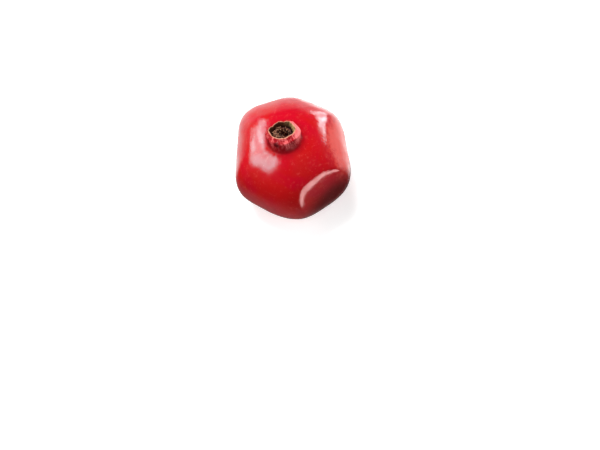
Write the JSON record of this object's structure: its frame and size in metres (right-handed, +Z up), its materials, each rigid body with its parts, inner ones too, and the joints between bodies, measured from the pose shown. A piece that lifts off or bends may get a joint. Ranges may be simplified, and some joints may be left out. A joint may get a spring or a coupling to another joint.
{
  "type": "pomegranate",
  "caption": "Whole pomegranate with blunt ridges and flattened sides, standing crown up on a small flat spot, with dried stamens in its crown.",
  "frame": {"origin": "on the surface that the fruit stands on, under the middle of its box", "axes": "+Z up, away from the flat spot that the fruit rests on; the crown leans a little towards -X and bends towards +Y; -Y is the front"},
  "size_m": [0.0864, 0.0928, 0.09],
  "materials": {
    "rind": "waxy gloss over fine pores, crimson with pinker and yellower blotches",
    "dried_stamens": "matte, dry and fibrous",
    "stem_wood": "matte, rough bark with a paler cut end"
  },
  "bodies": {
    "root": {"fruit": "rind", "stamens": "dried_stamens", "stem": "stem_wood"}
  },
  "joints": []
}
